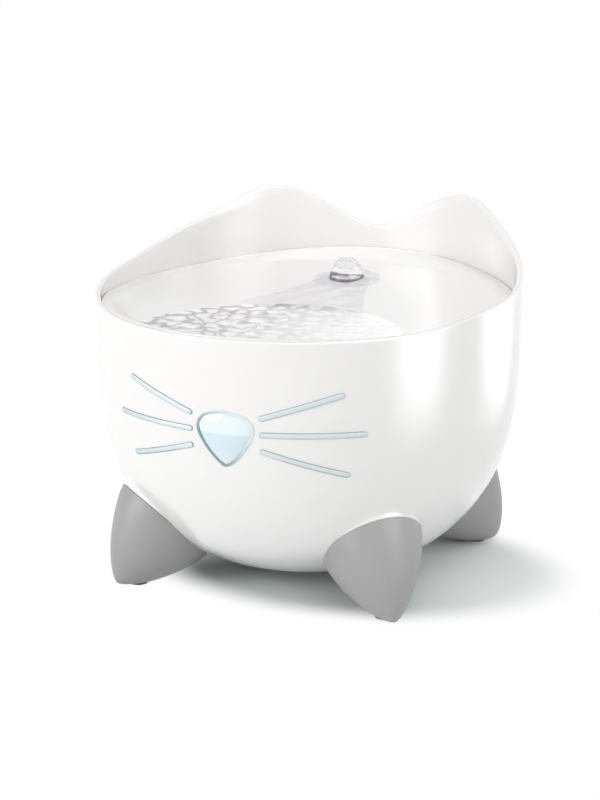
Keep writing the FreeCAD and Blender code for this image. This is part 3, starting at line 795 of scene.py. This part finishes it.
# %% Dish height
TRAY_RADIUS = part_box("drinking_tray")[1].x / MM
TRAY_SKIN = 2.5
SKIRT_WALL = 2.7
LIP_WIDTH = 3.7
LIP_BACK_RISE = 11.5
LIP_BACK_POWER = 5.0
POOL_Y = -68.0
POOL_DEPTH = 13.0
POOL_RADIUS = 76.0
POOL_WATER = 6.0
SLOPE_POWER = 1.3
DISH_WALL = 12.5
SPOUT_Y = 66.0
SPOUT_BORE = 7.3
SPOUT_OUTSIDE = 9.3
SPOUT_SOCKET = 16.0


def dish_height(x, y):
    """Bed plus a smooth step up to the lip; bed = deepest + water (distance / pool radius)^p."""
    out = np.hypot(x, y)
    bed = RIM - POOL_DEPTH + POOL_WATER * (np.hypot(x, y - POOL_Y) / POOL_RADIUS) ** SLOPE_POWER
    lip = RIM + LIP_BACK_RISE * (0.5 + 0.5 * y / np.maximum(out, 1.0)) ** LIP_BACK_POWER
    s = np.clip((out - (TRAY_RADIUS - LIP_WIDTH - DISH_WALL)) / DISH_WALL, 0.0, 1.0)
    return bed + (lip - bed) * s * s * (3.0 - 2.0 * s)


def flat_ring(radii, angles):
    x = np.asarray(radii, float)[:, None] * np.sin(angles)
    y = -np.asarray(radii, float)[:, None] * np.cos(angles)
    return x, y


# %% Build the dish
DISH_COLUMNS = 384
turn = np.linspace(0, 2 * np.pi, DISH_COLUMNS, endpoint=False)
x, y = flat_ring(np.linspace(0, TRAY_RADIUS - 0.5, 96), turn)
upper = np.stack([x, y, dish_height(x, y)], axis=-1)
skirt_inside = TRAY_RADIUS - SKIRT_WALL
x, y = flat_ring([TRAY_RADIUS - 0.15, TRAY_RADIUS, TRAY_RADIUS, skirt_inside, skirt_inside], turn)
edge_z = dish_height(*flat_ring([TRAY_RADIUS], turn)) + np.array([-0.1, -0.5, 0, 0, -TRAY_SKIN])[:, None]
edge_z[2:4] = LEDGE_TOP
edge = np.stack([x, y, edge_z], axis=-1)
x, y = flat_ring(np.linspace(skirt_inside, 0, 40)[1:], turn)
lower = np.stack([x, y, dish_height(x, y) - TRAY_SKIN], axis=-1)
dish = piece_from_grids("dish_skin", [np.vstack([upper, edge, lower])], body="tray")


def tube_grid(cx, cy, outer, inner, low, high, columns=64):
    """A plain tube: up the outside, over the top, down the inside and back; it closes on its first ring."""
    a = np.linspace(0, 2 * np.pi, columns, endpoint=False)
    radius = np.array([outer, outer, inner, inner, outer])[:, None]
    height = np.array([low, high, high, low, low])[:, None]
    return np.stack([cx + radius * np.cos(a), cy + radius * np.sin(a), height + 0 * a], axis=-1)


def box_grid(x0, x1, y0, y1, z0, z1, angle):
    """A closed box: four corners carried up, drawn in to a point at each end, turned about the axis."""
    corners = np.array([(x0, y0), (x1, y0), (x1, y1), (x0, y1)], float)
    middle = np.broadcast_to([(x0 + x1) / 2, (y0 + y1) / 2], corners.shape)
    rings = ((middle, z0), (corners, z0), (corners, z1), (middle, z1))
    grid = np.stack([np.column_stack([flat, np.full(4, z)]) for flat, z in rings])
    c, s = math.cos(angle), math.sin(angle)
    return grid @ np.array([[c, s, 0], [-s, c, 0], [0, 0, 1]])


spout_z = float(dish_height(0.0, SPOUT_Y))
DRAIN_COUNT = 9
DRAIN_PITCH = math.radians(5.2)
DRAIN_HALF = 1.5
DRAIN_LENGTH = 7.0
DRAIN_REACH = (135.0, 175.0)
SPOUT_REACH = (120.0, 190.0)
drain_out = TRAY_RADIUS - LIP_WIDTH - DISH_WALL
drains = [box_grid(-DRAIN_HALF, DRAIN_HALF, -drain_out, -drain_out + DRAIN_LENGTH, *DRAIN_REACH,
                   (i - (DRAIN_COUNT - 1) / 2) * DRAIN_PITCH) for i in range(DRAIN_COUNT)]
cut_away(dish, piece_from_grids("drain_slots", drains))
cut_away(dish, piece_from_grids("spout_bore", [tube_grid(0, SPOUT_Y, SPOUT_BORE, 0.0, *SPOUT_REACH)]))
dress(dish, dish_white)
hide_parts("drinking_tray")
print("dish faces:", len(dish.data.polygons), "spout at", round(spout_z, 1), "mm")

# %% [markdown]
# Under the dish, a socket holds the riser tube and a collar holds the filter basket. A mouth ring lies round
# the spout's bore. All three are near black as painted shade for the inside of the bore, and the dome of
# water shows the ring as a dark band.

# %% Spout socket, filter collar and mouth ring
FILTER_Y = -64.0
FILTER_HALF = (46.0, 26.0)
COLLAR = 2.0
COLLAR_REACH = (137.0, 147.0)
SOCKET_TOP_GAP = 1.2
MOUTH_DEPTH = 2.0
MOUTH_OUTSIDE = 9.8
MOUTH_RISE = 0.9


def frame_grid(half_x, half_y, wall, low, high):
    """A rectangular collar: its outline up the outside, over, down the inside and back."""
    outer, inner = (half_x, half_y), (half_x - wall, half_y - wall)
    loops = [(outer, low), (outer, high), (inner, high), (inner, low), (outer, low)]
    corners = ((-1, -1), (1, -1), (1, 1), (-1, 1))
    return np.array([[(sx * hx, FILTER_Y + sy * hy, z) for sx, sy in corners] for (hx, hy), z in loops])


socket = tube_grid(0, SPOUT_Y, SPOUT_OUTSIDE, SPOUT_BORE, spout_z - SPOUT_SOCKET, spout_z - SOCKET_TOP_GAP)
collar = frame_grid(*FILTER_HALF, COLLAR, *COLLAR_REACH)
mouth_shade_ring = tube_grid(0, SPOUT_Y, MOUTH_OUTSIDE, SPOUT_BORE, spout_z - MOUTH_DEPTH, spout_z + MOUTH_RISE)
fittings = piece_from_grids("dish_fittings", [socket, collar, mouth_shade_ring], body="tray")
# Painted shade: the fittings are near black so that the bore reads as shaded.
dress(fittings, painted_shade_spout)

# %% [markdown]
# ## Water
#
# Still water would be a mirror. Here the pump keeps it moving, so the pool's surface is a sum of small
# ripples that run in all directions and die out at the shore. The pool ends exactly where the dish rises
# through the water level, found by halving the search range along every direction at once. Its underside is
# sunk a little into the dish, so that no film of air lies between water and plastic.

# %% Pool
LEVEL = RIM - POOL_DEPTH + POOL_WATER
SUNK = 0.4
rng = np.random.default_rng(7)
RIPPLE_COUNT = 26
RIPPLE_HEIGHT = 0.34
CALM_EDGE = 0.12
ripple_turn = rng.uniform(0, 2 * np.pi, RIPPLE_COUNT)
ripple_length = rng.uniform(5.5, 15.0, RIPPLE_COUNT)
ripple_start = rng.uniform(0, 2 * np.pi, RIPPLE_COUNT)


def ripples(x, y):
    """Sum of (length / 10)^1.2 cos(2 pi along / length + start), over the square root of their count."""
    along = x[..., None] * np.cos(ripple_turn) + y[..., None] * np.sin(ripple_turn)
    wave = np.cos(2 * np.pi * along / ripple_length + ripple_start)
    return (wave * (ripple_length / 10.0) ** 1.2).sum(axis=-1) / math.sqrt(RIPPLE_COUNT)


POOL_COLUMNS = 256
a = np.linspace(0, 2 * np.pi, POOL_COLUMNS, endpoint=False)
near, far = np.zeros(POOL_COLUMNS), np.full(POOL_COLUMNS, 190.0)
for _ in range(30):
    middle = (near + far) / 2
    px, py = middle * np.sin(a), POOL_Y - middle * np.cos(a)
    wet = (dish_height(px, py) < LEVEL) & (np.hypot(px, py) < TRAY_RADIUS)
    near, far = np.where(wet, middle, near), np.where(wet, far, middle)
pool_share = np.linspace(0, 1, 90)[:, None]
px, py = near * pool_share * np.sin(a), POOL_Y - near * pool_share * np.cos(a)
calm = np.clip((1 - pool_share) / CALM_EDGE, 0, 1) ** 0.7
pool_top = np.stack([px, py, LEVEL + RIPPLE_HEIGHT * calm * ripples(px, py)], axis=-1)
bed_share = np.linspace(1, 0, 30)[:, None]
bx, by = near * bed_share * np.sin(a), POOL_Y - near * bed_share * np.cos(a)
pool_bed = np.stack([bx, by, dish_height(bx, by) - SUNK], axis=-1)
pool = piece_from_grids("pool_water", [np.vstack([pool_top, pool_bed])], body="tray")
dress(pool, pool_painted_caustics)
print("pool reaches", round(float(py.max()), 1), "mm back and", round(float(px.max()), 1), "mm to the side")

# %% [markdown]
# The pump lifts a low glassy dome over the spout. From it a sheet of water spreads down the slope: thick at
# its middle line, thin at its edges, combed by ripples that follow the flow.

# %% Dome and stream
DOME_RADIUS = 10.8
DOME_HEIGHT = 12.0
SKIRT_RADIUS = 21.0
STREAM_END = 2.0
SKIRT_RISE = 1.6
DOME_POWER = 0.62
LUMP_HEIGHT = 0.55
DOME_RIPPLE, FILM_RIPPLE = 0.12, 0.10
COMB_HEIGHT = 0.16
FILM_ENDS = 0.08
THINNEST = (0.05, 0.02)
STREAM_START = 4.0
STREAM_HALF = (15.0, 40.0)
STREAM_DRIFT = -6.0
STREAM_BOW = 5.0
a = np.linspace(0, 2 * np.pi, 96, endpoint=False)
r = np.linspace(0, 1, 44)[:, None] * SKIRT_RADIUS
x, y = r * np.sin(a), SPOUT_Y - r * np.cos(a)
dome = DOME_HEIGHT * np.maximum(1 - (r / DOME_RADIUS) ** 2, 0.0) ** DOME_POWER
skirt = SKIRT_RISE * np.maximum(1 - (r / SKIRT_RADIUS) ** 2, 0.0)
lumps = LUMP_HEIGHT * np.sin(3 * a + 0.7) * np.sin(np.pi * np.minimum(r / DOME_RADIUS, 1.0))
lumps = (lumps + DOME_RIPPLE * ripples(x, y)) * (r > 0) * (r < SKIRT_RADIUS - 0.5)
over = dish_height(x, y) + np.maximum(dome + skirt + lumps, THINNEST[0])
under_r = r[::-1]
ux, uy = under_r * np.sin(a), SPOUT_Y - under_r * np.cos(a)
under = dish_height(ux, uy) - SUNK
dome_grid = np.vstack([np.stack([x, y, over], axis=-1), np.stack([ux, uy, under], axis=-1)])

u = np.linspace(0, 1, 90)[:, None]
v_turn = np.linspace(0, 2 * np.pi, 96, endpoint=False)
v = np.cos(v_turn)
half = STREAM_HALF[0] + (STREAM_HALF[1] - STREAM_HALF[0]) * u ** 1.3
sx = STREAM_DRIFT * u ** 1.2 + half * v
sy = SPOUT_Y + STREAM_START + (STREAM_END - SPOUT_Y - STREAM_START) * u - STREAM_BOW * (1 - v ** 2) * u
ends = np.minimum(1.0, np.minimum(u, 1 - u) / FILM_ENDS)
thick = (1.5 - 0.5 * u) * np.sqrt(1 - v ** 2 + 1e-9) * ends
comb = COMB_HEIGHT * np.sin(9 * v + 14 * u) * np.sin(v_turn) + FILM_RIPPLE * ripples(sx, sy)
film = np.maximum(thick + comb * (thick > 0.2), THINNEST[1])
sz = dish_height(sx, sy) + np.where(np.sin(v_turn) > 0, film, -SUNK)
stream_grid = np.stack([sx, sy, sz], axis=-1)
flow = piece_from_grids("flowing_water", [dome_grid, stream_grid], body="tray")
dress(flow, running_water)

# %% [markdown]
# The bowl itself is filled to the line seen in the nose. This body of water hugs the inside wall and rises
# to a flat face, so it shows when the dish is lifted out.

# %% Water in the bowl
a = np.linspace(0, 2 * np.pi, 128, endpoint=False)
z = floor_top + 0.1 + (WATER_LINE - floor_top - 0.1) * np.linspace(0, 1, 40) ** INNER_CROWDING
SURFACE_DIP = 0.15
radii = np.concatenate([[0.0], skin_radius(z, -WALL) + SUNK, [60.0, 0.0]])
heights = np.concatenate([[z[0]], z, [WATER_LINE - SURFACE_DIP] * 2])
fill = turned_grid(radii[:, None], heights[:, None] + 0 * a, a)
reservoir = piece_from_grids("bowl_water", [fill])
dress(reservoir, still_water)

# %% [markdown]
# ## Filter pad
#
# A fibre pad fills the basket. It is a crowned cushion: a superellipse in plan whose top and bottom swell in
# the middle and draw in at the edges, with shallow dimples where its layers are tacked together.

# %% Build the filter pad
pad_low, pad_high = (np.array(corner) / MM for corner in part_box("filter_cartridge"))
centre, half_size = (pad_low + pad_high) / 2, (pad_high - pad_low) / 2
tilt = np.linspace(-np.pi / 2, np.pi / 2, 72)[:, None]
a = np.linspace(0, 2 * np.pi, 160, endpoint=False)


def power(value, exponent):
    return np.sign(value) * np.abs(value) ** exponent


SIDE_POWER = 0.22
CORNER_POWER = 0.3
CROWN_POWER = 0.55
TACK_DEPTH = 0.08
PAD_HEIGHT = 0.98
fx = power(np.cos(tilt), SIDE_POWER) * power(np.cos(a), CORNER_POWER)
fy = power(np.cos(tilt), SIDE_POWER) * power(np.sin(a), CORNER_POWER)
tacks = (np.cos(6 * np.pi * fx) * np.cos(4 * np.pi * fy)) ** 8
fz = power(np.sin(tilt), CROWN_POWER) * (1 - TACK_DEPTH * tacks)
pad_grid = centre + half_size * np.stack([fx, fy, fz], axis=-1) * (1.0, 1.0, PAD_HEIGHT)
filter_pad = piece_from_grids("filter_pad", [pad_grid], body="filter")
dress(filter_pad, filter_fibre)
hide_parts("filter_cartridge")

# %% [markdown]
# ## Floor and light
#
# The picture stands on pure white with one soft grey shadow. Inside an ellipse round the feet the floor is a
# dull sheet that shows the real shadow, with a painted shadow that makes it darker under the bowl's front.
# Outside it, rays that look at the background meet plain white instead. The world works the same way: white
# to look at, dim as a light.

# %% Floor
FLOOR_HALF = 4.0
SHADOW_CENTRE = (0.03, 0.0)
SHADOW_SIZE = (0.135, 0.095)
SHADOW_REACH = (0.74, 1.06)
# Painted shadow: the floor's own colour darkens inside this ellipse, under the bowl's front.
PAINTED_SHADOW_CENTRE = (-0.015, -0.045)
PAINTED_SHADOW_SIZE = (0.10, 0.10)
PAINTED_SHADOW_REACH = (0.5, 1.1)
FLOOR_OPEN = (0.84, 0.875, 0.87)
FLOOR_PAINTED_SHADOW = (0.68, 0.73, 0.72)


def background_rays(tree):
    """One for rays that should meet the white background: those of the camera, of gloss and of glass, but not
    those that light a dull surface through the water."""
    path = tree.nodes.new("ShaderNodeLightPath")
    total = path.outputs["Is Camera Ray"]
    for kind in ("Is Glossy Ray", "Is Transmission Ray"):
        add = math_node(tree, "ADD", total, path.outputs[kind])
        add.use_clamp = True
        total = add.outputs["Value"]
    straight = math_node(tree, "LESS_THAN", path.outputs["Diffuse Depth"], 0.5)
    return math_node(tree, "MULTIPLY", total, straight.outputs["Value"]).outputs["Value"]


def distance_ramp(tree, place, centre, size, reach):
    """Zero inside the first reach of an ellipse on the floor, one outside the second, smooth between."""
    centre_on = tree.nodes.new("ShaderNodeMapping")
    centre_on.inputs["Location"].default_value = (-centre[0] / size[0], -centre[1] / size[1], 0.0)
    centre_on.inputs["Scale"].default_value = (1.0 / size[0], 1.0 / size[1], 1.0)
    away = tree.nodes.new("ShaderNodeVectorMath")
    away.operation = "LENGTH"
    ramp = range_node(tree, *reach, smoothed=True)
    tree.links.new(place, centre_on.inputs["Vector"])
    tree.links.new(centre_on.outputs["Vector"], away.inputs[0])
    tree.links.new(away.outputs["Value"], ramp.inputs["Value"])
    return ramp.outputs["Result"]


corners = [(sx * FLOOR_HALF, sy * FLOOR_HALF, 0) for sx, sy in ((-1, -1), (1, -1), (1, 1), (-1, 1))]
floor_mesh = bpy.data.meshes.new("floor")
floor_mesh.from_pydata(corners, [], [(0, 1, 2, 3)])
floor = bpy.data.objects.new("floor", floor_mesh)
bpy.context.scene.collection.objects.link(floor)
floor_white, tree, shader = new_material("floor_white")
shader.inputs["Roughness"].default_value = 0.9
shader.inputs["Specular IOR Level"].default_value = 0.0
place = tree.nodes.new("ShaderNodeTexCoord").outputs["Object"]
shade = colour_ramp(tree, [(0.0, FLOOR_PAINTED_SHADOW), (1.0, FLOOR_OPEN)])
open_floor = distance_ramp(tree, place, SHADOW_CENTRE, SHADOW_SIZE, SHADOW_REACH)
seen = math_node(tree, "MULTIPLY", open_floor, background_rays(tree))
backdrop = tree.nodes.new("ShaderNodeEmission")
backdrop.inputs["Color"].default_value = (*WHITE, 1.0)
mix = tree.nodes.new("ShaderNodeMixShader")
# Painted shadow under the bowl's front, mixed into the floor's colour.
tree.links.new(distance_ramp(tree, place, PAINTED_SHADOW_CENTRE, PAINTED_SHADOW_SIZE, PAINTED_SHADOW_REACH), shade.inputs["Fac"])
tree.links.new(shade.outputs["Color"], shader.inputs["Base Color"])
tree.links.new(seen.outputs["Value"], mix.inputs["Fac"])
tree.links.new(shader.outputs["BSDF"], mix.inputs[1])
tree.links.new(backdrop.outputs["Emission"], mix.inputs[2])
tree.links.new(mix.outputs["Shader"], tree.nodes["Material Output"].inputs["Surface"])
floor.data.materials.append(floor_white)

# %% [markdown]
# A large soft lamp at the left lights the face, weaker ones stand above, in front and at the right. The two
# upright bands on the right of the bowl are narrow lamps close to it, which only its gloss picks up.

# %% World and lamps
WORLD_LIGHT = 0.33
STRIP_DISTANCE = 0.27
STRIP_HEIGHT = 0.40
STRIP_EDGE = (0.0, 0.42)
STRIP_FOOT = (0.0, 0.34)
LAMP_AIM = (0, 0, 0.1)
LAMPS = {
    "key_left": ((-1.05, -1.1, 0.5), 0.9, 13.0),
    "top": ((0.45, -0.1, 1.5), 1.0, 7.5),
    "front": ((0.35, -1.45, 0.9), 1.0, 1.0),
    "key_right": ((1.35, -0.75, 0.8), 1.0, 6.9),
}
STRIPS = {"strip_right": (68.0, 0.16, 0.80), "strip_far_right": (118.0, 0.20, 0.72)}
world = bpy.data.worlds.new("studio")
bpy.context.scene.world = world
world.use_nodes = True
tree = world.node_tree
air = tree.nodes["Background"]
air.inputs["Color"].default_value = (*WHITE, 1.0)
strength = tree.nodes.new("ShaderNodeMapRange")
strength.inputs["To Min"].default_value = WORLD_LIGHT
strength.inputs["To Max"].default_value = 1.0
tree.links.new(background_rays(tree), strength.inputs["Value"])
tree.links.new(strength.outputs["Result"], air.inputs["Strength"])


def soft_lamp(name, place, aim, width, height, power_watts, gloss_only=False):
    data = bpy.data.lights.new(name, "AREA")
    data.shape = "RECTANGLE"
    data.size, data.size_y = width, height
    data.energy = power_watts
    lamp = bpy.data.objects.new(name, data)
    lamp.location = place
    lamp.rotation_euler = (Vector(aim) - Vector(place)).to_track_quat("-Z", "Y").to_euler()
    lamp.visible_camera = False
    lamp.visible_diffuse = not gloss_only
    lamp.visible_transmission = not gloss_only
    bpy.context.scene.collection.objects.link(lamp)
    return lamp


def gloss_strip(name, azimuth, width, power_watts):
    """A narrow upright lamp close to the bowl that only its gloss picks up, as one tall band. Its strength
    falls off towards its edges and its foot, read from its own two parameters."""
    turn = math.radians(azimuth)
    place = (STRIP_DISTANCE * math.sin(turn), -STRIP_DISTANCE * math.cos(turn), STRIP_HEIGHT / 2)
    aim = (0, 0, STRIP_HEIGHT / 2)
    lamp = soft_lamp(name, place, aim, width, STRIP_HEIGHT, power_watts, gloss_only=True)
    lamp.data.use_nodes = True
    tree = lamp.data.node_tree
    own = tree.nodes.new("ShaderNodeNewGeometry")
    split = tree.nodes.new("ShaderNodeSeparateXYZ")
    tree.links.new(own.outputs["Parametric"], split.inputs["Vector"])
    falls = []
    for axis, reach in (("X", STRIP_EDGE), ("Y", STRIP_FOOT)):
        middle = math_node(tree, "PINGPONG", split.outputs[axis], 0.5)
        fall = range_node(tree, *reach, smoothed=True)
        tree.links.new(middle.outputs["Value"], fall.inputs["Value"])
        falls.append(fall.outputs["Result"])
    both = math_node(tree, "MULTIPLY", *falls)
    tree.links.new(both.outputs["Value"], tree.nodes["Emission"].inputs["Strength"])


for name, (place, size, power_watts) in LAMPS.items():
    soft_lamp(name, place, LAMP_AIM, size, size, power_watts)
for name, (azimuth, width, power_watts) in STRIPS.items():
    gloss_strip(name, azimuth, width, power_watts)
bpy.context.scene.view_settings.view_transform = "Standard"
